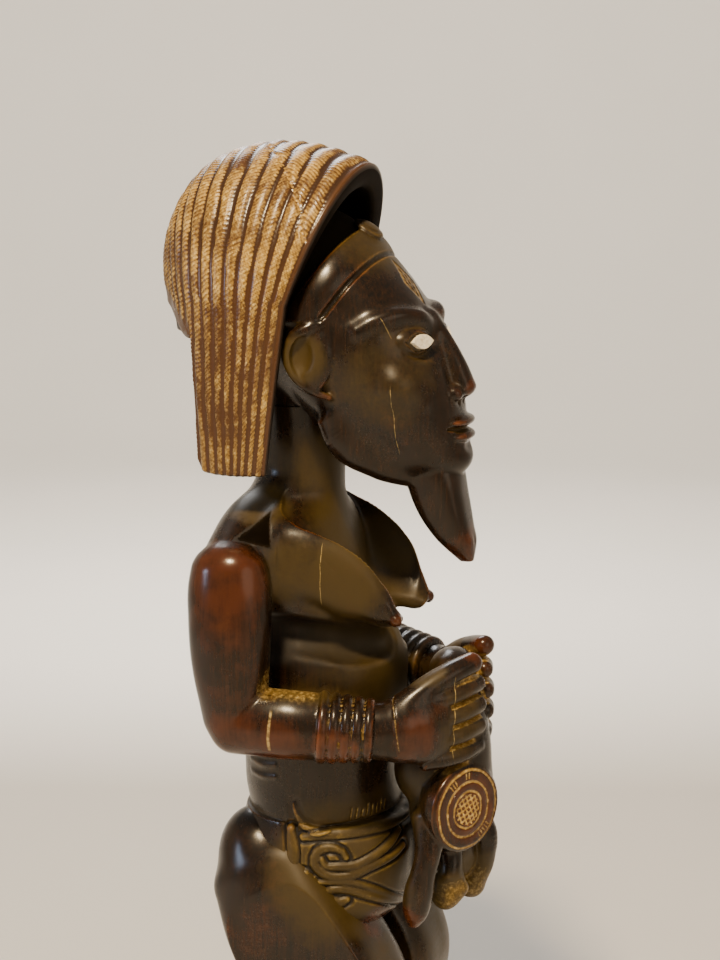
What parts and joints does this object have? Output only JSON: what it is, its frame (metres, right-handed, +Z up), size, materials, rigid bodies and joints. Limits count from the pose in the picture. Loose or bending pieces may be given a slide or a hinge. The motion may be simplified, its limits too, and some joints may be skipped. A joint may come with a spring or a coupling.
{
  "type": "carved wooden figure",
  "caption": "Standing carved wooden figure of a bearded man under a ribbed hood of hair, with a loincloth, cuffed wrists and a small creature held before the belly, on a low base.",
  "frame": {"origin": "on the underside of the base, between the feet", "axes": "+Z up, -Y the way the figure faces, +X the figure's left"},
  "size_m": [0.1256, 0.1364, 0.4584],
  "materials": {
    "carved_hardwood": "dark, hand-rubbed and polished, with pale dust in the cuts",
    "pale_shell": "off-white shell, rough"
  },
  "bodies": {
    "root": {"figure": "carved_hardwood", "eye_inlay_right": "pale_shell", "eye_inlay_left": "pale_shell"}
  },
  "joints": []
}
